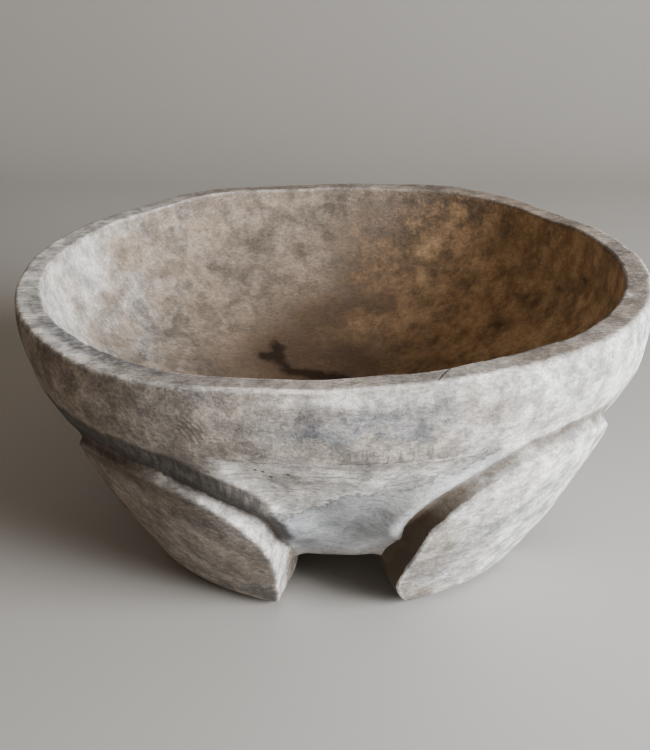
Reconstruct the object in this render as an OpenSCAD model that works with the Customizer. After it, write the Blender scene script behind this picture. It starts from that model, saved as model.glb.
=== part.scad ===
// A round bowl on four leaf-shaped feet, hewn from one block of wood.
//
// Millimetres, +Z up. The origin is on the axis of the bowl, at the level that the feet
// stand on. The front faces -Y: one of the two wider gaps between the feet is there.
// The bowl and the feet are one piece of wood. They are drawn as separate solids that meet
// face to face where the carving changes from the wall to a foot.

/* [Bowl] */
// Diameter over the lip
rim_d = 400; // [380:5:440]
// Height of the middle of the lip above the ground
total_h = 180; // [170:1:200]
// Width of the flat lip
lip_w = 16; // [12:1:20]
// How far the lip is out of level, in degrees, higher towards +X
lip_tilt = 1.3; // [0:0.1:2]
// Depth of the hollow below the lip
hollow_depth = 122; // [110:1:128]
// Thickness of the floor under the lowest point of the hollow
floor_t = 22; // [18:1:26]
// How far the wall swells out beyond the lip
swell = 1; // [0.5:0.5:3]

/* [Cut-back wall] */
// Depth below the lip of the ridge where the wall is cut back
ridge_depth = 44; // [38:1:46]
// Radius of the edge where the cut-back wall meets the flat underside
base_r = 122; // [116:1:128]

/* [Feet] */
// Depth below the lip of the top edge of the two feet on the left
foot_top_depth = 67; // [64:1:74]
// How much higher the two feet on the right reach
right_foot_rise = 13; // [0:1:14]
// Height where the sides of the feet start to lean over into their shoulders
shoulder_base_z = 37; // [30:1:44]
// Width of the gap between two feet at the front and at the back
front_gap_w = 74; // [64:1:80]
// Width of the shoulder of a foot beside the front or back gap
front_shoulder_w = 92; // [80:1:100]
// Width of the gap between two feet at the left and at the right
side_gap_w = 120; // [110:2:130]
// Width of the shoulder of a foot beside the left or right gap
side_shoulder_w = 80; // [70:1:90]
// Radius of the inner side of the feet on the ground
foot_inner_r = 86; // [80:1:92]
// Slope of the inner side of the feet: how much closer to the axis it is at the top
foot_inner_slope = 10; // [4:1:14]

/* [Hidden] */
$fn = 96;

rim_r = rim_d / 2;
underside_z = total_h - hollow_depth - floor_t;
left_top_z = total_h - foot_top_depth;
right_top_z = left_top_z + right_foot_rise;
// The swell is widest a little below the lip.
swell_depth = 14;
swell_r = rim_r + swell;
// The outside draws in below the swell by taper_share of the lip's radius, times the
// depth as a share of that radius to the power taper_power.
taper_share = 0.48;
taper_power = 1.5;
// Material above the lip, which the tilted cut removes
lip_stock = 12;
// Steps of each curve in an outline
outline_steps = 24;
// Reach of the solids that cut others away
reach = 2 * rim_d;

// Radius of the outside of the block at a depth below the lip
function block_r(depth) =
    depth < swell_depth
        ? swell_r - swell * pow((swell_depth - depth) / swell_depth, 2)
        : swell_r - taper_share * rim_r * pow((depth - swell_depth) / rim_r, taper_power);

// Points of the outside of the block from one depth below the lip to another
function block_outline(from_depth, to_depth) = [
    for (i = [0:outline_steps])
        let (depth = from_depth + (to_depth - from_depth) * i / outline_steps)
            [block_r(depth), total_h - depth]
];

// Points of a quarter of an ellipse, from the inner edge of the lip to the lowest point
function hollow_outline() = [
    for (i = [0:outline_steps])
        let (angle = 90 * i / outline_steps)
            [(rim_r - lip_w) * cos(angle), total_h - hollow_depth * sin(angle)]
];

// Outside of the bowl without its hollow: a swelling wall above the ridge, and below it a
// straight cut-back wall down to the flat underside
module bowl_outside() {
    rotate_extrude()
        polygon(concat(
            [[0, underside_z], [0, total_h + lip_stock]],
            block_outline(-lip_stock, ridge_depth),
            [[base_r, underside_z]]
        ));
}

module hollow() {
    rotate_extrude()
        polygon(concat(
            [[0, total_h + reach], [rim_r - lip_w, total_h + reach]],
            hollow_outline()
        ));
}

// Everything above the lip, which is cut flat but a little out of level
module above_lip() {
    translate([0, 0, total_h])
        rotate([0, -lip_tilt, 0])
            translate([-reach / 2, -reach / 2, 0])
                cube([reach, reach, reach]);
}

// Points of the quarter of an ellipse that is the shoulder of a foot
function shoulder_points(gap_w, shoulder_w, top_z) = [
    for (i = [0:outline_steps])
        let (angle = 90 * i / outline_steps)
            [
                gap_w / 2 + shoulder_w * (1 - cos(angle)),
                shoulder_base_z + (top_z - shoulder_base_z) * sin(angle)
            ]
];

// Side view of the feet on one side of a gap: a side that stands straight up from the
// ground, a shoulder and a level top edge. It is carried right along the gap.
module beside_gap(gap_w, shoulder_w, top_z) {
    translate([0, reach / 2, 0])
        rotate([90, 0, 0])
            linear_extrude(height = reach)
                polygon(concat(
                    [[gap_w / 2, 0]],
                    shoulder_points(gap_w, shoulder_w, top_z),
                    [[reach, top_z], [reach, 0]]
                ));
}

// The block from the ground to the top edge of a foot, with the original outside
module block_below(top_z) {
    rotate_extrude()
        polygon(concat(
            [[0, 0], [0, top_z]],
            block_outline(total_h - top_z, total_h)
        ));
}

// Space inside the ring of feet, under the bowl
module between_feet() {
    cylinder(h = underside_z, r1 = foot_inner_r, r2 = foot_inner_r - foot_inner_slope);
}

// One foot in the +X +Y quarter: what is left of the block beside both gaps, standing
// proud of the cut-back wall
module foot(top_z) {
    difference() {
        intersection() {
            block_below(top_z);
            beside_gap(front_gap_w, front_shoulder_w, top_z);
            rotate([0, 0, 90])
                mirror([0, 1, 0])
                    beside_gap(side_gap_w, side_shoulder_w, top_z);
        }
        bowl_outside();
        between_feet();
    }
}

module bowl() {
    color("#8f8578")
        difference() {
            bowl_outside();
            hollow();
            above_lip();
        }
}

module foot_front_left() {
    color("#6f6357")
        rotate([0, 0, 180])
            foot(left_top_z);
}

module foot_front_right() {
    color("#b4afa6")
        mirror([0, 1, 0])
            foot(right_top_z);
}

module foot_back_left() {
    color("#776c60")
        mirror([1, 0, 0])
            foot(left_top_z);
}

module foot_back_right() {
    color("#a59d92")
        foot(right_top_z);
}

bowl();
foot_front_left();
foot_front_right();
foot_back_left();
foot_back_right();
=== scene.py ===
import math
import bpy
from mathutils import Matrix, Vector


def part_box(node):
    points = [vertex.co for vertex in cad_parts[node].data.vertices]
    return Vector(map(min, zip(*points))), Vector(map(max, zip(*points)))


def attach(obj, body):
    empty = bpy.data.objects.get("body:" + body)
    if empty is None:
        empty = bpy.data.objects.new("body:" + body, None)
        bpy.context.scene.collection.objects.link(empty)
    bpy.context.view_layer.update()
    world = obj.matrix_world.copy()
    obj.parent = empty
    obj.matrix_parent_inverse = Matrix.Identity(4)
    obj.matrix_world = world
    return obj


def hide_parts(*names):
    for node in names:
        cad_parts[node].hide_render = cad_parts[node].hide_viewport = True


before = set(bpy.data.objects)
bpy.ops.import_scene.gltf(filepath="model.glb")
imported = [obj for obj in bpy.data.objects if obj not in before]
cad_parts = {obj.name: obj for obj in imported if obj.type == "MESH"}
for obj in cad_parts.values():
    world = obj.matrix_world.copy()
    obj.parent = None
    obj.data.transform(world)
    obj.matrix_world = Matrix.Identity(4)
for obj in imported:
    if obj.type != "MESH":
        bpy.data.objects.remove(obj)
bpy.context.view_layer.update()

# A carved wooden bowl on four feet, hewn from one block of wood.
#
# The wood is worked out as one distance field, in millimetres, the way a carver cuts it:
# a block, its hollow, its lip, the panels cut back between the feet and the grooves round
# the feet. The surface of the field becomes one fine mesh, which is then shared out
# between the bowl and its four feet, so that the carving runs on from piece to piece.

from types import SimpleNamespace

import bpy
import numpy as np
import openvdb
from mathutils import Vector

MM = 0.001
VOXEL = 1.6          # size of the carving grid, in mm
FEET = ("foot_front_left", "foot_front_right", "foot_back_left", "foot_back_right")


# ---------------------------------------------------------------- measures from the frame

def box_mm(node):
    low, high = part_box(node)
    return np.array(low) / MM, np.array(high) / MM


bowl_low, bowl_high = box_mm("bowl")
left_low, left_high = box_mm("foot_back_left")
right_low, right_high = box_mm("foot_back_right")
SWELL = 1.0                                  # how far the widest part is outside the lip
SWELL_DEPTH = 14.0                           # and how far below it
SWELL_R = (bowl_high[0] - bowl_low[0]) / 2
RIM_R = SWELL_R - SWELL
LIP_TILT = math.radians(1.3)                 # the lip is higher towards +X
LIP_Z = bowl_high[2] - RIM_R * math.sin(LIP_TILT)
LIP_W = 15.5
UNDERSIDE_Z = bowl_low[2]
FLOOR_T = 22.0
HOLLOW_DEPTH = LIP_Z - UNDERSIDE_Z - FLOOR_T
LEFT_TOP_Z = left_high[2]                    # the feet on the right reach higher
RIGHT_TOP_Z = right_high[2]
FRONT_HALF_GAP = right_low[0]                # half the gap between the feet, front and back
SIDE_HALF_GAP = right_low[1]                 # half the gap between them, left and right
SHOULDER_BASE_Z = 37.0                       # where the sides of the feet begin to lean over
BASE_R = 122.0                               # edge of the flat underside
RIDGE_DEPTH = 44.0                           # where the wall is cut back, below the lip
FOOT_INNER_R = 86.0
FOOT_INNER_SLOPE = 10.0
TAPER_SHARE, TAPER_POWER = 0.48, 1.5
RIDGE_R = RIM_R * 0.962                      # the ridge above the cut-back wall
LEAN = 4.5                                   # how far the lower part stands to the right
CORNER_DEG, CORNER_OUT = 55, 2.4             # the block's four corners, and how far they stand out
LEDGE_LOW_DEG, LEDGE_HIGH_DEG = 75.0, 42.0   # steepness of the ledge round a foot, low and high
FOOT_SIDE_REACH = 14.0                       # how far a foot's root spreads past its outline
FOOT_TO_HOLLOW = 6.0                         # the wood between a foot's root and the hollow

# Marks on the wood: each place is in mm, and each reach is in mm along X, Y and Z
PATCH_MM, MOTTLE_MM, FLECK_MM = 34.0, 13.0, 6.0
KNOT = ((-50, 86, 77), (-40, 90, 77), (-40, 97, 81), (-37, 83, 73), (-30, 75, 70), (10, 69, 66))
KNOT_REACH = 18.0
STAINS = ((163, 62, 142), (174, 38, 151), (146, 77, 126), (128, 74, 107), (60, 172, 172))
STAIN_REACH = (17.0, 15.0, 9.0)
COOL_PATCH, COOL_PATCH_REACH = (26.0, -197.0, 157.0), (80.0, 36.0, 17.0)
PALE_BAND, PALE_BAND_REACH = (20.0, -199.0, 173.0), (80.0, 40.0, 8.0)
TICKED, TICKED_REACH = (34.0, -190.0, 140.0), (52.0, 40.0, 9.0)
DARK_SPOT, DARK_SPOT_REACH = (-23.0, -183.0, 124.0), (7.0, 9.0, 6.0)
WORM_HOLES = ((-36, -183, 127), (-32, -181, 123), (-23, -184, 126), (-40, -183, 128))
LIP_CRACK_START, LIP_CRACK_END = (53, -187, 0), (60, -174, 0)
SCRAPER_CENTRE, SCRAPER_MIDDLE, SCRAPER_PITCH = (-92, -186, 138), (-71, -188, 153), 2.8


# ---------------------------------------------------------------- small field tools

def mix(a, b, t):
    return a + (b - a) * t


def ramp(low, high, value):
    """0 below low, 1 above high, and a smooth step between."""
    t = np.clip((value - low) / (high - low), 0.0, 1.0)
    return t * t * (3.0 - 2.0 * t)


def join(a, b, k):
    """Union of two fields, with a fillet of about k."""
    h = np.clip(0.5 + 0.5 * (b - a) / k, 0.0, 1.0)
    return b + (a - b) * h - k * h * (1.0 - h)


def meet(a, b, k):
    """Intersection of two fields, with an edge rounded by about k."""
    return -join(-a, -b, k)


def wave(azimuth, count, peak_deg):
    return np.cos(count * (azimuth - math.radians(peak_deg)))


def hump(azimuth, at_deg, half_deg):
    """1 at an azimuth in degrees, falling smoothly to 0 half_deg away."""
    away = np.abs((np.degrees(azimuth) - at_deg + 180.0) % 360.0 - 180.0)
    return 1.0 - ramp(0.0, half_deg, away)


NOISE_TABLE = np.random.default_rng(7).uniform(-1.0, 1.0, 1 << 14)


def noise(points, size, seed=0):
    """Smooth noise from -1 to 1 with features of a size in mm, or one size per axis."""
    p = points / np.asarray(size) + seed * 17.31
    cell = np.floor(p).astype(np.int64)
    t = p - cell
    t = t * t * t * (t * (t * 6.0 - 15.0) + 10.0)
    total = np.zeros(len(points))
    for corner in range(8):
        step = np.array([corner & 1, corner >> 1 & 1, corner >> 2 & 1])
        at = cell + step
        key = at[:, 0] * 73856093 ^ at[:, 1] * 19349663 ^ at[:, 2] * 83492791
        weight = np.prod(np.where(step, t, 1.0 - t), axis=1)
        total += NOISE_TABLE[key % len(NOISE_TABLE)] * weight
    return total


# ---------------------------------------------------------------- the carving

def block_radius(depth, azimuth):
    """Outside of the block. It is a little squared at the lip, where four corners stand out."""
    above = SWELL * np.square(np.maximum(SWELL_DEPTH - depth, 0.0) / SWELL_DEPTH)
    below = TAPER_SHARE * RIM_R * (np.maximum(depth - SWELL_DEPTH, 0.0) / RIM_R) ** TAPER_POWER
    squared = CORNER_OUT * wave(azimuth, 4, CORNER_DEG) * (1.0 - ramp(40.0, 110.0, depth))
    return SWELL_R - above - below + squared


def lip_height(x, azimuth):
    """The lip is cut by eye: out of level, low in places at the front and high at the back."""
    raised = 4.6 * hump(azimuth, -150, 24) + 2.4 * hump(azimuth, 148, 22)
    raised = raised + 1.4 * hump(azimuth, 180, 40) - 2.0 * hump(azimuth, 121, 10)
    raised = raised + 1.3 * hump(azimuth, -126, 15)
    lowered = 2.2 * hump(azimuth, -36, 30) + 0.8 * hump(azimuth, 55, 30)
    return LIP_Z + x * math.sin(LIP_TILT) + raised - lowered


def shoulder(across, z, half_gap, wide, high, top):
    """Distance outside the outline of a foot beside one gap: a straight side, a shoulder
    that is a quarter of an ellipse, and a level top."""
    u = np.maximum(half_gap + wide - across, 0.0) / wide
    v = np.maximum(z - top + high, 0.0) / high
    e = np.maximum(np.hypot(u, v), 1e-3)
    slope = np.maximum(np.hypot(u / wide, v / high) / e, 0.5 / (wide + high))
    return (e - 1.0) / slope


def foot_outline(xl, y, z):
    """Distance outside the outline of the feet. The right ones are taller, and their sides in
    the front and back gaps lean, bulge halfway up and round off to the ground."""
    right = 0.5 + 0.5 * np.tanh(xl / 10.0)
    top = mix(LEFT_TOP_Z - 1.0, RIGHT_TOP_Z - 2.5, right)
    rounded_off = np.square(np.maximum(30.0 - z, 0.0)) / 75.0
    halfway = 1.0 - ramp(0.0, 30.0, np.abs(z - 54.0))
    slant = 0.1 * z - 6.0 + rounded_off + 3.8 * halfway
    front_gap = FRONT_HALF_GAP + mix(-0.8, slant, right)
    side_gap = SIDE_HALF_GAP + mix(3.0, 0.0, right)
    front = shoulder(np.abs(xl), z, front_gap, 95.0, top - SHOULDER_BASE_Z, top)
    side = shoulder(np.abs(y), z, side_gap, mix(84.0, 78.0, right), top - SHOULDER_BASE_Z, top)
    return meet(front, side, 8.0)


def panel_cut(xl, y, depth, azimuth):
    """How deep the wall is cut back between two feet, below a sharp ridge."""
    drop = (RIDGE_R - BASE_R) / (LIP_Z - UNDERSIDE_Z - RIDGE_DEPTH)
    flat_r = RIDGE_R - drop * (depth - RIDGE_DEPTH)
    whole = np.maximum(block_radius(depth, azimuth) - flat_r, 0.0) * (depth > RIDGE_DEPTH)
    beside_middle = np.minimum(np.abs(xl - 10.0), np.abs(y) + 4.0)
    return whole * (1.0 - ramp(56.0, 86.0, beside_middle))


def groove_cut(outline, ledge_angle, z, right):
    """How deep the groove is that sets a foot off from the wall, deepest at its ledge."""
    left_deep = mix(15.0, 5.5, ramp(70.0, 108.0, z))
    right_deep = mix(15.0, 7.5, ramp(60.0, 120.0, z))
    deep = mix(left_deep, right_deep, right)
    at_ledge = deep / np.tan(ledge_angle)
    return deep * np.clip(1.0 - (outline - at_ledge) / 26.0, 0.0, 1.3)


def broken_out(x, y, z):
    """Pieces broken from the lip: a rough chip at the back right, and a nick."""
    chip = np.sqrt((x - 143.0) ** 2 + (y - 93.0) ** 2 + 1.6 * (z - LIP_Z - 18.0) ** 2) - 22.0
    nick = np.sqrt((x - 170.0) ** 2 + (y + 72.0) ** 2 + (z - LIP_Z - 7.0) ** 2) - 5.0
    return np.minimum(chip, nick)


def carve(x, y, z, ragged=0.0, dents=0.0):
    """The fields at points in mm, negative inside the wood. ragged moves the outline of the
    feet and dents the faces of the wood, in mm."""
    depth = LIP_Z - z
    xl = x - LEAN * ramp(20.0, 100.0, depth)
    right = 0.5 + 0.5 * np.tanh(xl / 10.0)
    azimuth = np.arctan2(x, -y)
    radius = np.hypot(xl, y)
    block = (radius - block_radius(depth, azimuth)) * 0.88 + dents
    outline = foot_outline(xl, y, z) + ragged
    ledge_angle = np.radians(mix(LEDGE_LOW_DEG, LEDGE_HIGH_DEG, ramp(48.0, 100.0, z)))
    panel = panel_cut(xl, y, depth, azimuth)
    groove = groove_cut(outline, ledge_angle, z, right)
    cut_back = 0.88 * panel * mix(1.0, ramp(0.0, 42.0, outline), ramp(46.0, 84.0, z))
    wall = block - join(-cut_back, -groove, 3.0) - 0.75

    # The hollow, an ellipsoid
    inner_r = RIM_R - LIP_W + CORNER_OUT / 2 * wave(azimuth, 4, CORNER_DEG)
    flat = np.hypot(x, y)
    e = np.hypot(flat / inner_r, depth / HOLLOW_DEPTH)
    steep = np.hypot(flat / inner_r ** 2, depth / HOLLOW_DEPTH ** 2)
    hollow = e * (e - 1.0) / np.maximum(steep, 1e-6)
    hollow = np.where(depth < 0.0, flat - inner_r, hollow) - dents

    lip = z - lip_height(x, azimuth) + dents
    bowl = meet(meet(wall, -hollow, 3.0), lip, 2.0)
    bowl = meet(bowl, -broken_out(x, y, z) + 2.0 * dents, 0.8)
    bowl = meet(bowl, UNDERSIDE_Z - z + dents, 4.0)

    # A foot: the block's own outside, a ledge down to the groove, a side in the gap, a worn
    # sole, and a root that stops short of the hollow
    ledge = block * np.cos(ledge_angle) + outline * np.sin(ledge_angle)
    hollowed = 12.0 * (1.0 - ramp(0.0, UNDERSIDE_Z, z))
    inner = FOOT_INNER_R + hollowed - FOOT_INNER_SLOPE * z / UNDERSIDE_Z - radius
    foot = meet(block, ledge, 1.2)
    foot = meet(foot, outline - FOOT_SIDE_REACH, 2.0)
    foot = meet(foot, inner, 6.0)
    foot = meet(foot, -z, 9.0)
    foot = meet(foot, FOOT_TO_HOLLOW - hollow, 1.0)
    return {"bowl": bowl, "foot": foot, "wall": wall, "hollow": hollow, "lip": lip,
            "ledge": ledge, "block": block, "outline": outline, "azimuth": azimuth,
            "panel": panel, "across_lip": (flat - inner_r) / LIP_W}


def wood(x, y, z, ragged=0.0, dents=0.0):
    """The whole carving, with a wide fillet under the bowl and a sharp groove above."""
    cut = carve(x, y, z, ragged, dents)
    fillet = mix(12.0, 3.0, ramp(42.0, 66.0, z))
    return join(cut["bowl"], cut["foot"], fillet)


def carved_surface():
    """The surface of the whole carving: points in mm, and quads."""
    low = np.array([-SWELL_R - 8.0, -SWELL_R - 8.0, -6.0])
    high = np.array([SWELL_R + 8.0, SWELL_R + 8.0, bowl_high[2] + 10.0])
    counts = np.ceil((high - low) / VOXEL).astype(int) + 1
    axes = [low[i] + VOXEL * np.arange(counts[i]) for i in range(3)]
    field = np.empty(counts, np.float32)
    slab = 24
    for start in range(0, counts[0], slab):
        grid = np.meshgrid(axes[0][start:start + slab], axes[1], axes[2], indexing="ij")
        field[start:start + slab] = wood(*grid)
    volume = openvdb.FloatGrid(background=10.0)
    volume.copyFromArray(field)
    points, quads = volume.convertToQuads(isovalue=0.0)
    return points.astype(float) * VOXEL + low, quads.astype(int)


def settle(points, ragged, dents, rounds=3, step=0.3, furthest=2.0):
    """Moves points onto the roughened surface, and returns them with their normals."""
    for turn in range(rounds + 1):
        slope = np.empty_like(points)
        for axis in range(3):
            shift = np.zeros(3)
            shift[axis] = step
            ahead = wood(*(points + shift).T, ragged, dents)
            behind = wood(*(points - shift).T, ragged, dents)
            slope[:, axis] = (ahead - behind) / (2.0 * step)
        size = np.maximum(np.linalg.norm(slope, axis=1), 0.2)
        if turn < rounds:
            away = wood(*points.T, ragged, dents) / size
            points = points - slope * (np.clip(away, -furthest, furthest) / size)[:, None]
    return points, slope / size[:, None]


def roughness_of_hand(points):
    """How far the outline of the feet and the faces of the wood stray from true, in mm."""
    ragged = 0.9 * noise(points, 16.0, 1) + 0.5 * noise(points, 5.0, 2)
    dents = 1.1 * noise(points, 75.0, 3) + 0.55 * noise(points, 28.0, 4)
    dents = dents + 0.22 * noise(points, 11.0, 5) + 0.10 * noise(points, 4.5, 6)
    above_ground = ramp(0.0, 14.0, points[:, 2])
    return ragged, dents * mix(0.15, 1.0, above_ground)


# ---------------------------------------------------------------- sharing out the mesh

def owners(points, quads):
    """Which piece each quad belongs to: 0 is the bowl, 1 to 4 are the feet as in FEET."""
    middle = points[quads].mean(axis=1)
    cut = carve(*middle.T)
    on_foot = cut["foot"] < cut["bowl"]
    return np.where(on_foot, 1 + (middle[:, 0] > 0) + 2 * (middle[:, 1] > 0), 0)


def rim_of(quads):
    """The edges that only one of the quads has, in that quad's direction."""
    edges = np.concatenate([quads[:, [i, (i + 1) % 4]] for i in range(4)])
    ordered = np.sort(edges, axis=1)
    key = ordered[:, 0] * (quads.max() + 1) + ordered[:, 1]
    _, first, count = np.unique(key, return_index=True, return_counts=True)
    return edges[first[count == 1]]


def closed_part(points, quads, rims_and_hearts):
    """Quads, closed by a cone inside the wood from each cut rim to its heart."""
    hearts = [heart for _, heart in rims_and_hearts]
    caps = []
    for i, (rim, _) in enumerate(rims_and_hearts):
        tip = np.full(len(rim), len(points) + i)
        caps.append(np.column_stack([rim[:, 1], rim[:, 0], tip]))
    return np.vstack([points, *hearts]), quads, np.vstack(caps)


def build_piece(name, points, quads, caps, normals, masks, material):
    used, index = np.unique(np.concatenate([quads.ravel(), caps.ravel()]), return_inverse=True)
    quad_rows = index[:quads.size].reshape(-1, 4)
    cap_rows = index[quads.size:].reshape(-1, 3)
    mesh = bpy.data.meshes.new(name)
    mesh.from_pydata(points[used] * MM, [], quad_rows.tolist() + cap_rows.tolist())
    mesh.polygons.foreach_set("use_smooth", np.ones(len(mesh.polygons), bool))
    for label, values in masks.items():
        layer = mesh.attributes.new(label, "FLOAT", "POINT")
        layer.data.foreach_set("value", values[used].astype(np.float32))
    mesh.update()
    mesh.normals_split_custom_set_from_vertices(normals[used].tolist())
    mesh.materials.append(material)
    piece = bpy.data.objects.new(name + "_carved", mesh)
    bpy.context.scene.collection.objects.link(piece)
    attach(piece, "root")
    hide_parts(name)
    return piece


# ---------------------------------------------------------------- weathering, and light and shade painted on, point by point

def near_path(points, path):
    """Distance in mm from each point to a path through the wood."""
    nearest = np.full(len(points), 1e3)
    for start, end in zip(np.array(path[:-1], float), np.array(path[1:], float)):
        along = (points - start) @ (end - start) / np.sum((end - start) ** 2)
        foot = start + np.clip(along, 0.0, 1.0)[:, None] * (end - start)
        nearest = np.minimum(nearest, np.linalg.norm(points - foot, axis=1))
    return nearest


def spread(points, place, reach):
    """1 at a place in mm, falling smoothly to 0 a reach away along each axis."""
    away = (points - np.array(place)) / np.array(reach)
    return 1.0 - ramp(0.25, 1.0, np.linalg.norm(away, axis=1))


class Skin:
    """The points of the surface in mm, where each one lies, and the noise it weathers by."""

    def __init__(self, points, ragged, dents):
        self.points = points
        self.x, self.y, self.z = points.T
        self.cut = carve(*points.T, ragged, dents)
        self.azimuth = self.cut["azimuth"]
        self.patch = noise(points, PATCH_MM, 11)
        self.mottle = noise(points, MOTTLE_MM, 12)
        self.fleck = noise(points, FLECK_MM, 13)
        self.rough_patch = self.patch + 0.6 * self.mottle + 0.35 * self.fleck
        self.on_lip = 1.0 - ramp(0.6, 2.6, np.abs(self.cut["lip"]))
        near_hollow = 1.0 - ramp(0.6, 3.0, np.abs(self.cut["hollow"]))
        self.inside = near_hollow * (1.0 - self.on_lip)
        self.outside = (1.0 - self.inside) * (1.0 - self.on_lip)
        self.on_foot = self.cut["foot"] < self.cut["bowl"]
        self.on_panel = (self.cut["panel"] > 1.0) * ~self.on_foot * self.outside


def wet_and_shade_share(s):
    """How far water has stained the hollow: most low down and on the right. Its reach further
    left, low down, is painted shade.
    """
    low = 1.0 - ramp(72.0, 122.0, s.z)
    return ramp(-120.0, 90.0, s.x - 1.05 * (s.z - 74.0) + 30.0 + 48.0 * low + 25.0 * s.patch)


def lit_inside_share(s):
    """Painted light in the hollow: most on the left, whose inner wall faces the window."""
    return ramp(92.0, 192.0, -s.x + 32.0 * s.rough_patch)


def damp_and_shade_mask(s, wet_and_shade, lit_inside):
    """Brown in the hollow, part stain and part painted shade, less where light is painted on the
    left; painted shade as grey-brown on the left outside and under the bowl; brown on the lip's
    far side.
    """
    # Painted shade: the left outside, away from the window, in grey-brown.
    shaded = 0.72 * ramp(60.0, 160.0, -s.x + 45.0 * s.rough_patch)
    # Painted shade under the bowl, away from the outside wall.
    far_in = s.cut["block"] > -16
    under = 0.7 - 0.7 * ramp(-2.0, 16.0, s.z - UNDERSIDE_Z + 40.0 * far_in)
    right_or_back = ramp(40.0, 150.0, np.maximum(s.x, s.y))
    lip_side = 0.4 * ramp(-0.3, 0.8, s.mottle + 0.6 * s.patch + right_or_back - 0.4)
    lip_back = np.maximum(0.4 * hump(s.azimuth, 180, 70), 0.8 * hump(s.azimuth, 135, 50))
    # Inside: stains and painted shade, less where light is painted on the left wall.
    damp = s.inside * np.maximum(wet_and_shade, 0.72 - 0.72 * lit_inside)
    damp = damp + s.outside * np.maximum(shaded, under)
    return damp + s.on_lip * np.maximum(lip_side, lip_back)


def within_facet(s):
    """Distance in mm inside the far edge of the dark facet along a foot's groove."""
    return mix(10.0, 27.0, ramp(45.0, 115.0, s.z)) - s.cut["outline"] + 4.0 * s.mottle


def facet_mask(s):
    """A facet along the groove of each left foot, darkened partly by grime and partly by painted
    shade, as it faces away from the light.
    """
    below_ridge = ramp(0.0, 4.0, LIP_Z - RIDGE_DEPTH - s.z + 2.0 * s.fleck)
    facet = ramp(-2.0, 2.0, within_facet(s)) * (~s.on_foot) * s.outside
    return facet * ramp(-40.0, 10.0, -s.x) * below_ridge


def slate_mask(s):
    """Blue-grey on the cut-back wall, higher on the right. It crosses 0.5 at its top edge."""
    off_facet = 1.0 - ramp(0.0, 8.0, within_facet(s)) * (s.x < 0.0)
    slate_top = 101.0 + 0.4 * s.x + 6.0 * s.patch
    return s.on_panel * off_facet * np.clip(0.5 + (slate_top - s.z) / 60.0, 0.0, 1.0)


def cool_mask(s, wet_and_shade, lit_inside):
    """Cool grey: blotches, a large patch on the front wall, and the lip at the front left."""
    blotch = ramp(0.0, 0.36, s.patch * 0.5 + s.mottle * 0.7 + s.fleck * 0.35)
    front = 1.4 * spread(s.points, COOL_PATCH, COOL_PATCH_REACH) * ramp(-0.7, 0.1, s.mottle)
    inner_lip = hump(s.azimuth, -46, 44) * (1.0 - ramp(0.42, 0.72, s.cut["across_lip"]))
    # Fewer cool blotches where light is painted on the left of the hollow.
    cool = 1.2 * s.inside * blotch * (1.0 - 0.8 * wet_and_shade) * (1.0 - 0.75 * lit_inside)
    cool = cool + s.outside * np.maximum(0.5 * blotch, front)
    return cool + s.on_lip * np.maximum(inner_lip, 0.35 * blotch)


def worn_edge_and_highlight_mask(s):
    """Edges rubbed pale, and a painted highlight along the lip's inner edge; less so round the
    back of the lip.
    """
    arris = np.maximum(np.abs(s.cut["block"]), np.abs(s.cut["ledge"]))
    outer_edge = np.maximum(np.abs(s.cut["wall"]), np.abs(s.cut["lip"]))
    # The lip's inner edge is a painted highlight, where its rounding catches the light.
    inner_edge = np.maximum(np.abs(s.cut["hollow"]), np.abs(s.cut["lip"]))
    worn_and_highlit = 1.0 - ramp(0.6, 3.0, np.minimum(arris, np.minimum(outer_edge, inner_edge)))
    return worn_and_highlit * (1.0 - 0.8 * hump(s.azimuth, 155, 85) * (s.z > LIP_Z - 12.0))


def pale_mask(s, lit_inside, facet):
    """Pale: raw wood under the ridge and rubbed edges; and painted light: a highlight along the
    ridge and the lip's inner edge, the ledges of the left feet, the left wall of the hollow and
    the right side.
    """
    raw = ramp(0.0, 6.0, s.cut["panel"]) * (1.0 - facet) * (s.z > UNDERSIDE_Z + 4.0)
    # A painted highlight along the ridge.
    ridge = (1.0 - facet) * ramp(-4.0, -0.5, s.z - LIP_Z + RIDGE_DEPTH)
    # Painted light on the right side, which faces the window.
    painted_light_right = ramp(10.0, 120.0, s.x + 30.0 * s.rough_patch) * s.outside
    on_ledge = s.on_foot * (np.abs(s.cut["ledge"]) < 1.5) * (s.cut["block"] < -1.0)
    broken = np.abs(broken_out(s.x, s.y, s.z))
    shares = (raw * s.on_panel, ridge * s.on_panel, painted_light_right, worn_edge_and_highlight_mask(s) * 0.9,
              # The left wall of the hollow is made pale as painted light.
              0.7 * spread(s.points, PALE_BAND, PALE_BAND_REACH), s.inside * lit_inside,
              0.14 * np.maximum(s.outside * ~s.on_foot, s.on_lip),
              # The ledges of the left feet are made pale as painted light; they face the window.
              on_ledge * (s.x < 60.0) * ramp(-150.0, -110.0, s.x + 12.0 * s.patch),
              s.on_lip * 0.95 * ramp(70.0, 160.0, -s.x), 1.0 - ramp(0.8, 3.0, broken))
    return np.max(shares, axis=0)


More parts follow.
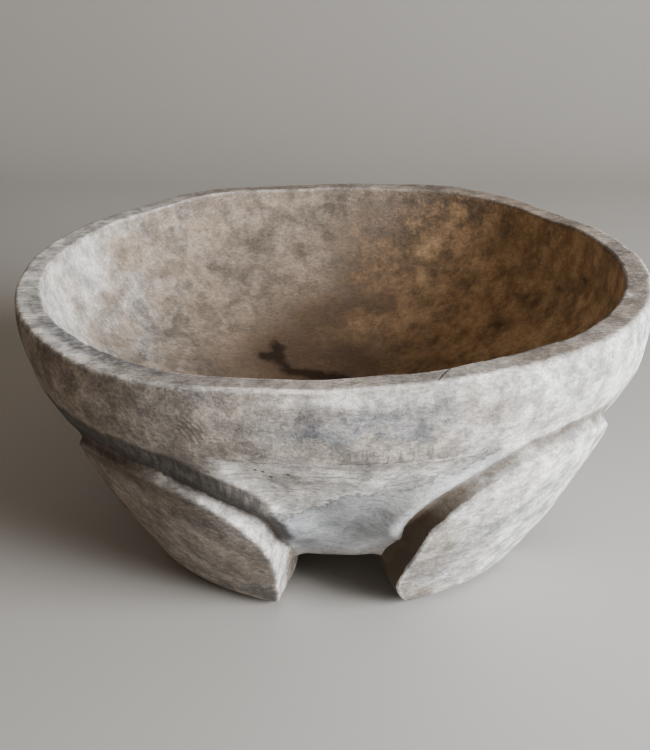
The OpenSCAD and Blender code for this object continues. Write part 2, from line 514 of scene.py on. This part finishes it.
def dirt_and_shade_mask(s):
    """Painted shade in the creases of the grooves, darker high on the left feet, and stains on the
    right inside.
    """
    beside_join = np.abs(s.cut["foot"] - s.cut["bowl"])
    # Painted shade in the crease where a foot meets the bowl.
    crease = 0.7 - 0.7 * ramp(0.0, 6.0, beside_join + 2.5 * s.fleck)
    left_feet = s.on_foot * ramp(70.0, 110.0, s.z + 14.0 * s.patch) * ramp(50.0, 110.0, -s.x)
    dirt = np.maximum(crease * (s.z > 50.0) * s.outside, 0.66 * left_feet)
    for place in STAINS:
        stain = spread(s.points, place, STAIN_REACH) * ramp(-0.3, 0.5, s.mottle + s.fleck)
        dirt = np.maximum(dirt, 0.5 * stain * s.inside)
    return np.maximum(dirt, 0.6 * spread(s.points, DARK_SPOT, DARK_SPOT_REACH))


def side_mask(s):
    """The shaded sides of the right feet, in the gap and up the groove."""
    side = ramp(-10.0, 3.0, s.cut["bowl"] - s.cut["foot"]) * s.outside * (s.x > 0.0)
    return side * np.clip(0.5 - (s.cut["block"] + 1.5) / 8.0, 0.0, 1.0)


def fibrous_mask(s, facet, slate):
    """Where fibres stand out: raw wood under the ridge, and a little on the lip."""
    smooth = 0.75 * ramp(0.48, 0.6, slate)
    return np.maximum(0.4 * s.on_lip, s.on_panel * (1.0 - facet) * (1.0 - smooth))


def surface_masks(points, ragged, dents):
    """What time has done to each point of the surface, and the light and shade painted on it, each
    from 0 to 1.
    """
    s = Skin(points, ragged, dents)
    wet_and_shade = wet_and_shade_share(s)
    lit_inside = lit_inside_share(s)
    facet = facet_mask(s)
    slate = slate_mask(s)
    masks = {
        "inside": s.inside,
        "damp": damp_and_shade_mask(s, wet_and_shade, lit_inside),
        # Ochre staining inside, which low down also stands for painted shade.
        "golden": s.inside * wet_and_shade,
        # 0 on the left and 1 on the right: the material paints light with it towards the right and
        #                                   shade towards the left.
        "sunned": ramp(-60.0, 130.0, s.x + 30.0 * s.patch),
        "cool": cool_mask(s, wet_and_shade, lit_inside),
        "slate": slate,
        "pale": pale_mask(s, lit_inside, facet),
        "dirt": dirt_and_shade_mask(s),
        "knot": s.inside * np.clip(1.0 - near_path(points, KNOT) / KNOT_REACH, 0.0, 1.0),
        "fibrous": fibrous_mask(s, facet, slate),
        "side": side_mask(s),
        "side_dark": 1.0 - 0.6 * ramp(90.0, 116.0, s.z + 8.0 * s.mottle),
        "ticks": spread(points, TICKED, TICKED_REACH) * (s.cut["panel"] == 0.0),
        "facet": facet * mix(0.66, 0.95, ramp(72.0, 96.0, s.z)),
    }
    return {label: np.clip(values, 0.0, 1.0) for label, values in masks.items()}


def carve_bowl(material):
    points, quads = carved_surface()
    ragged, dents = roughness_of_hand(points)
    points, normals = settle(points, ragged, dents)
    masks = surface_masks(points, ragged, dents)
    owner = owners(points, quads)
    up = [[0.0, 0.0, 1.0]]
    bowl_rims = []
    for i, name in enumerate(FEET):
        mine = quads[owner == i + 1]
        rim = rim_of(mine)
        heart = points[rim[:, 0]].mean(axis=0)
        bowl_rims.append((rim[:, ::-1], heart))
        part, rows, caps = closed_part(points, mine, [(rim, heart)])
        padded = {label: np.append(v, 0.0) for label, v in masks.items()}
        build_piece(name, part, rows, caps, np.vstack([normals, up]), padded, material)
    part, rows, caps = closed_part(points, quads[owner == 0], bowl_rims)
    padded = {label: np.append(v, np.zeros(len(FEET))) for label, v in masks.items()}
    build_piece("bowl", part, rows, caps, np.vstack([normals, up * len(FEET)]), padded, material)


# ---------------------------------------------------------------- materials

class Nodes:
    """Short names for the nodes of one material."""

    def __init__(self, name):
        self.material = bpy.data.materials.new(name)
        self.material.use_nodes = True
        self.tree = self.material.node_tree
        self.shader = self.tree.nodes["Principled BSDF"]

    def set(self, socket, value):
        if isinstance(value, bpy.types.NodeSocket):
            self.tree.links.new(value, socket)
        elif hasattr(socket.default_value, "__len__") and not hasattr(value, "__len__"):
            socket.default_value = [value] * len(socket.default_value)
        elif hasattr(value, "__len__") and len(socket.default_value) == 4 and len(value) == 3:
            socket.default_value = (*value, 1.0)
        else:
            socket.default_value = value

    def add(self, kind, output, values=(), **settings):
        node = self.tree.nodes.new(kind)
        for key, value in settings.items():
            setattr(node, key, value)
        for key, value in dict(values).items():
            self.set(node.inputs[key], value)
        return node.outputs[output]

    def math(self, operation, a, b=0.0, clamp=False):
        return self.add("ShaderNodeMath", 0, {0: a, 1: b}, operation=operation, use_clamp=clamp)

    def place(self):
        return self.add("ShaderNodeTexCoord", "Object")

    def stretch(self, vector, scale):
        return self.add("ShaderNodeVectorMath", 0, {0: vector, 1: scale}, operation="MULTIPLY")

    def noise(self, vector, scale, detail=4.0, rough=0.55, warp=0.0):
        return self.add("ShaderNodeTexNoise", "Fac", {
            "Vector": vector, "Scale": scale, "Detail": detail, "Roughness": rough,
            "Distortion": warp})

    def between(self, value, low, high, to_low=0.0, to_high=1.0):
        return self.add("ShaderNodeMapRange", 0, {
            "Value": value, "From Min": low, "From Max": high, "To Min": to_low,
            "To Max": to_high}, interpolation_type="SMOOTHSTEP")

    def attribute(self, label):
        return self.add("ShaderNodeAttribute", "Fac", attribute_name=label)

    def blend(self, share, a, b, kind="MIX"):
        return self.add("ShaderNodeMix", 2, {0: share, 6: a, 7: b}, data_type="RGBA",
                        blend_type=kind, clamp_factor=True)

    def crack(self, at, start, end, half_width):
        """1 on a line between two places in mm, and 0 beside it."""
        along = (Vector(end) - Vector(start)) * MM
        beyond = self.add("ShaderNodeVectorMath", 0, {0: at, 1: Vector(start) * MM},
                          operation="SUBTRACT")
        share = self.add("ShaderNodeVectorMath", 1, {0: beyond, 1: along / along.length_squared},
                         operation="DOT_PRODUCT")
        nearest = self.add("ShaderNodeVectorMath", 0, {
            0: tuple(along), 3: self.math("ADD", share, 0.0, clamp=True)}, operation="SCALE")
        away = self.add("ShaderNodeVectorMath", 1, {0: beyond, 1: nearest},
                        operation="DISTANCE")
        return self.between(away, 0.4 * half_width * MM, half_width * MM, 1.0, 0.0)

    def arcs(self, at, centre, middle, pitch):
        """A patch of arcs, pitch mm apart, such as a scraper leaves. 1 in each line."""
        away = self.add("ShaderNodeVectorMath", 1, {0: at, 1: Vector(centre) * MM},
                        operation="DISTANCE")
        turn = self.math("SINE", self.math("MULTIPLY", away, 2 * math.pi / (pitch * MM)))
        return self.math("MULTIPLY", self.between(turn, 0.1, 0.9),
                         self.near(at, middle, 4.0, 12.0))

    def near(self, at, centre, inner, outer):
        """1 within inner mm of a place, and 0 beyond outer mm."""
        away = self.add("ShaderNodeVectorMath", 1, {0: at, 1: Vector(centre) * MM},
                        operation="DISTANCE")
        return self.between(away, inner * MM, outer * MM, 1.0, 0.0)

    def bump(self, height, distance, strength=1.0, normal=None):
        values = {"Height": height, "Distance": distance, "Strength": strength}
        if normal is not None:
            values["Normal"] = normal
        return self.add("ShaderNodeBump", 0, values)


MASKS = ("inside", "damp", "golden", "sunned", "cool", "slate", "pale", "dirt", "knot",
         "fibrous", "side", "side_dark", "ticks", "facet")


def marks_and_grain(n):
    """The masks of each point, and the noises that the layers of the wood share."""
    w = SimpleNamespace(**{label: n.attribute(label) for label in MASKS})
    w.at = n.place()
    w.cloud = n.noise(w.at, 21.0, 5, 0.6)
    w.blotch = n.noise(w.at, 58.0, 7, 0.66)
    w.spot = n.noise(n.stretch(w.at, (0.75, 1.0, 1.0)), 165.0, 7, 0.72)
    w.grit = n.noise(n.stretch(w.at, (0.5, 1.0, 1.0)), 560.0, 4, 0.75)
    w.upright = n.noise(n.stretch(w.at, (1.0, 0.3, 0.1)), 420.0, 2)
    w.drift = n.math("ADD", n.math("MULTIPLY", n.math("SUBTRACT", w.blotch, 0.5), 1.3),
                     n.math("MULTIPLY", n.math("SUBTRACT", w.spot, 0.5), 0.7))
    w.border = n.math("ADD", w.slate, n.math("MULTIPLY", w.drift, 0.55))
    w.streaks = tool_streaks(n, w)
    fibres = n.noise(n.stretch(w.at, (0.1, 1.0, 1.0)), 480.0, 5, 0.65, 0.3)
    w.lines = n.math("MULTIPLY", n.between(fibres, 0.55, 0.64), n.between(
        w.fibrous, 0.0, 1.0, 0.4, 1.0))
    return w


def tool_streaks(n, w):
    """Fine streaks that run down the wall, where no fibres stand out."""
    around = n.add("ShaderNodeVectorMath", 0, {0: n.stretch(w.at, (1, 1, 0))},
                   operation="NORMALIZE")
    downhill = n.add("ShaderNodeVectorMath", 0, {
        0: n.stretch(around, (0.19, 0.19, 0)), 1: n.stretch(w.at, (0, 0, 0.55))},
        operation="ADD")
    strokes = n.noise(downhill, 620.0, 3, 0.65, 0.5)
    return n.math("MULTIPLY", n.between(strokes, 0.57, 0.66), n.math("SUBTRACT", 1.0, w.fibrous))


def dry_wood(n, w):
    """Grey-brown, pale on raw and rubbed wood and where light is painted, that pale brighter and
    cooler to the right as painted light, with blotches of cool grey.
    """
    colour = n.blend(n.between(w.cloud, 0.40, 0.60), (0.43, 0.385, 0.34), (0.30, 0.26, 0.225))
    # The pale is brighter and cooler to the right: painted light.
    pale_and_lit_colour = n.blend(w.sunned, (0.86, 0.842, 0.82), (0.90, 0.905, 0.905))
    colour = n.blend(n.math("MULTIPLY", w.pale, 0.96), colour, pale_and_lit_colour)
    cool_grey = n.blend(w.inside, (0.225, 0.235, 0.255), (0.16, 0.158, 0.16))
    share = n.math("MULTIPLY", w.cool, n.between(w.spot, 0.40, 0.62, 1.0, 0.65))
    return n.blend(share, colour, cool_grey)


def slate_patch(n, w, colour):
    """Blue-grey, paler to the right as painted light, with a thin painted shadow line under the
    edge where the raw wood flakes off.
    """
    # Paler to the right: painted light.
    blue_grey = n.blend(n.between(w.sunned, 0.22, 0.52), (0.285, 0.31, 0.34), (0.68, 0.70, 0.725))
    colour = n.blend(n.between(w.border, 0.485, 0.515, 0.0, 0.85), colour, blue_grey)
    # A painted shadow line under the flaked edge.
    flaked = n.math("MULTIPLY", n.between(w.border, 0.49, 0.52), n.between(
        w.border, 0.52, 0.55, 1.0, 0.0))
    return n.blend(n.math("MULTIPLY", flaked, 0.4), colour, (0.11, 0.095, 0.08))


def wet_wood(n, w, colour):
    """Brown for stains and for painted shade, then dull brown and ochre where water stained the
    hollow, darkest towards the left and low down, where they are painted shade.
    """
    share = n.math("MULTIPLY", w.damp, n.between(w.spot, 0.38, 0.62, 1.0, 0.8))
    # Brown: stains in the hollow and on the lip, and painted shade on the left outside and under
    # the bowl.
    colour = n.blend(share, colour, (0.27, 0.205, 0.148))
    ochre = n.blend(n.between(w.blotch, 0.36, 0.66), (0.47, 0.31, 0.176), (0.555, 0.377, 0.222))
    # Darkest brown towards the left: painted shade.
    brown = n.blend(n.between(w.sunned, 0.22, 1.0), (0.13, 0.085, 0.055), ochre)
    wet_and_shade_amount = n.math("ADD", w.golden, w.drift)
    dull = n.math("MULTIPLY", n.between(wet_and_shade_amount, 0.25, 0.80), w.inside)
    colour = n.blend(dull, colour, (0.225, 0.165, 0.12))
    rich = n.math("MULTIPLY", n.between(wet_and_shade_amount, 0.52, 1.05), w.inside)
    return n.blend(rich, colour, brown)


def mottled(n, w, colour):
    """Light and dark at four scales, calmer inside and on the blue-grey, with specks."""
    calm = n.math("MULTIPLY", n.between(w.inside, 0.0, 1.0, 1.0, 0.82),
                  n.between(w.border, 0.485, 0.515, 1.0, 0.6))
    calm = n.math("MULTIPLY", calm, n.between(w.golden, 0.3, 1.0, 1.0, 0.72))
    for layer, darkest, lightest in ((w.cloud, 0.80, 1.14), (w.blotch, 0.62, 1.25),
                                     (w.spot, 0.72, 1.18), (w.grit, 0.70, 1.12)):
        factor = n.between(layer, 0.36, 0.64, darkest, lightest)
        colour = n.blend(calm, colour, factor, "MULTIPLY")
    dark_specks = n.math("MULTIPLY", n.between(w.spot, 0.58, 0.67, 0.0, 0.6),
                         n.between(w.sunned, 0.3, 0.8, 1.0, 0.45))
    colour = n.blend(dark_specks, colour, (0.14, 0.105, 0.075))
    pale_specks = n.math("MULTIPLY", n.between(w.spot, 0.42, 0.34, 0.0, 0.22),
                         n.between(w.inside, 0.0, 1.0, 1.0, 0.3))
    return n.blend(pale_specks, colour, (0.85, 0.83, 0.80))


def grained(n, w, colour):
    """Streaks of the tool in patches, and lines between the fibres."""
    patchy = n.between(w.blotch, 0.44, 0.60, 0.0, 0.35)
    colour = n.blend(n.math("MULTIPLY", w.streaks, patchy), colour, (0.14, 0.11, 0.085))
    return n.blend(n.math("MULTIPLY", w.lines, 0.6), colour, (0.16, 0.125, 0.10))


def darkened(n, w, colour):
    """Stains, a dark spot and painted shade in the creases; the facets, darkened by grime and
    painted shade; painted shade on the sides of the right feet; and the knot.
    """
    # Stains, a dark spot and darker wood high on the left feet, with painted shade in the creases
    # by the feet.
    colour = n.blend(w.dirt, colour, (0.06, 0.043, 0.027))
    # The dark facets: partly grime, partly painted shade.
    facet_grime_and_shade = n.math("MULTIPLY", w.facet, n.between(w.upright, 0.42, 0.60, 0.78, 1.0))
    colour = n.blend(facet_grime_and_shade, colour, (0.062, 0.058, 0.056))
    # Painted shade on the sides of the right feet, which face away from the light.
    shade = n.between(n.math("ADD", w.side, n.math("MULTIPLY", w.drift, 0.3)), 0.46, 0.56)
    colour = n.blend(n.math("MULTIPLY", shade, w.side_dark), colour, (0.085, 0.062, 0.042))
    branch = n.math("ADD", w.knot, n.math("MULTIPLY", w.drift, 0.7))
    return n.blend(n.between(branch, 0.56, 0.92, 0.0, 0.95), colour, (0.03, 0.018, 0.011))


def crack_and_holes(n, w):
    """1 in the short crack across the lip and in the worm holes, and 0 elsewhere."""
    wander = n.add("ShaderNodeTexNoise", "Color", {"Vector": w.at, "Scale": 240.0})
    bent = n.add("ShaderNodeVectorMath", 0, {0: w.at, 1: n.stretch(wander, (0.0024,) * 3)},
                 operation="ADD")
    height = n.add("ShaderNodeSeparateXYZ", "Z", {0: w.at})
    on_top = n.between(height, (LIP_Z - 6.0) * MM, (LIP_Z - 3.0) * MM)
    flattened = n.stretch(bent, (1.0, 1.0, 0.0))
    damage = n.math("MULTIPLY", n.crack(flattened, LIP_CRACK_START, LIP_CRACK_END, 0.6), on_top)
    for hole in WORM_HOLES:
        damage = n.math("MAXIMUM", damage, n.near(w.at, hole, 0.5, 1.3))
    return damage


def scarred(n, w, damage, colour):
    """The crack and holes, the scraper's arcs, and short upright ticks above the ridge."""
    colour = n.blend(n.math("MULTIPLY", damage, 0.8), colour, (0.045, 0.035, 0.03))
    arcs = n.arcs(w.at, SCRAPER_CENTRE, SCRAPER_MIDDLE, SCRAPER_PITCH)
    colour = n.blend(n.math("MULTIPLY", arcs, 0.65), colour, (0.10, 0.08, 0.07))
    ticked = n.math("MULTIPLY", n.between(w.upright, 0.53, 0.60), w.ticks)
    return n.blend(n.math("MULTIPLY", ticked, 0.7), colour, (0.11, 0.10, 0.09))


def relief(n, w, damage):
    """Pits, streaks, fibres, the flaked edge, grit and cracks, from coarse to fine."""
    pitted = n.bump(w.spot, 0.0028, 0.5)
    streaked = n.bump(w.streaks, 0.0004, 0.2, pitted)
    fibred = n.bump(n.math("MULTIPLY", w.lines, -1.0), 0.0005, 0.5, streaked)
    flaked = n.bump(n.between(w.border, 0.49, 0.515), 0.0008, 0.6, fibred)
    gritty = n.bump(w.grit, 0.0010, 0.5, flaked)
    return n.bump(n.math("MULTIPLY", damage, -1.0), 0.0012, 1.0, gritty)


# Weathered wood, with light and shade painted into its colour.
def weathered_wood():
    n = Nodes("weathered_wood")
    w = marks_and_grain(n)
    damage = crack_and_holes(n, w)
    colour = slate_patch(n, w, dry_wood(n, w))
    colour = mottled(n, w, wet_wood(n, w, colour))
    colour = darkened(n, w, grained(n, w, colour))
    n.set(n.shader.inputs["Base Color"], scarred(n, w, damage, colour))
    n.set(n.shader.inputs["Roughness"], n.between(w.spot, 0.3, 0.7, 0.74, 0.92))
    n.set(n.shader.inputs["Normal"], relief(n, w, damage))
    n.shader.inputs["Specular IOR Level"].default_value = 0.25
    return n.material


# ---------------------------------------------------------------- the stage

def studio_floor():
    """A sheet of pale paper that curves up behind the bowl."""
    reach = 2.5
    back = 1.6
    rise = 2.2
    bend = 0.7
    profile = [(-reach, 0.0), (back - bend, 0.0)]
    steps = 16
    for i in range(1, steps + 1):
        turn = math.pi / 2 * i / steps
        profile.append((back - bend + bend * math.sin(turn), bend - bend * math.cos(turn)))
    profile.append((back, rise))
    points = [(x, y, z) for y, z in profile for x in (-reach, reach)]
    rows = [(2 * i, 2 * i + 1, 2 * i + 3, 2 * i + 2) for i in range(len(profile) - 1)]
    mesh = bpy.data.meshes.new("studio_floor")
    mesh.from_pydata(points, [], rows)
    mesh.polygons.foreach_set("use_smooth", [True] * len(mesh.polygons))
    floor = bpy.data.objects.new("studio_floor", mesh)
    bpy.context.scene.collection.objects.link(floor)
    n = Nodes("studio_paper")
    grey = n.noise(n.place(), 3.0, 3)
    n.set(n.shader.inputs["Base Color"],
          n.blend(grey, (0.43, 0.425, 0.415), (0.47, 0.465, 0.455)))
    n.shader.inputs["Roughness"].default_value = 0.9
    mesh.materials.append(n.material)


def area_light(name, place, target, size, power, colour):
    data = bpy.data.lights.new(name, "AREA")
    data.shape = "RECTANGLE"
    data.size, data.size_y = size
    data.energy = power
    data.color = colour
    light = bpy.data.objects.new(name, data)
    light.location = place
    light.rotation_euler = (Vector(place) - Vector(target)).to_track_quat("Z", "Y").to_euler()
    bpy.context.scene.collection.objects.link(light)


def studio_lights():
    """One soft window at the front right, and warm light from the room."""
    area_light("window", (1.32, -0.86, 0.64), (0.0, 0.0, 0.12), (0.9, 0.9), 76.0,
               (1.0, 0.99, 0.975))
    world = bpy.data.worlds.new("room")
    bpy.context.scene.world = world
    world.use_nodes = True
    background = world.node_tree.nodes["Background"]
    background.inputs["Color"].default_value = (1.0, 0.80, 0.60, 1.0)
    background.inputs["Strength"].default_value = 0.22


def camera():
    """Placed from the size of the bowl, looking down at it from the front."""
    rim_r = RIM_R * MM
    pitch = math.radians(23.95)                # below the horizon
    data = bpy.data.cameras.new("camera")
    data.sensor_fit = "HORIZONTAL"
    data.sensor_width = 36.0
    data.lens = 61.48
    data.clip_start = 0.01
    eye = bpy.data.objects.new("camera", data)
    eye.location = (-0.019 * rim_r, -3.427 * rim_r, LIP_Z * MM + 1.122 * rim_r)
    eye.rotation_euler = (math.pi / 2 - pitch, 0.0, 0.0)
    bpy.context.scene.collection.objects.link(eye)
    bpy.context.scene.camera = eye


carve_bowl(weathered_wood())
studio_floor()
studio_lights()
camera()
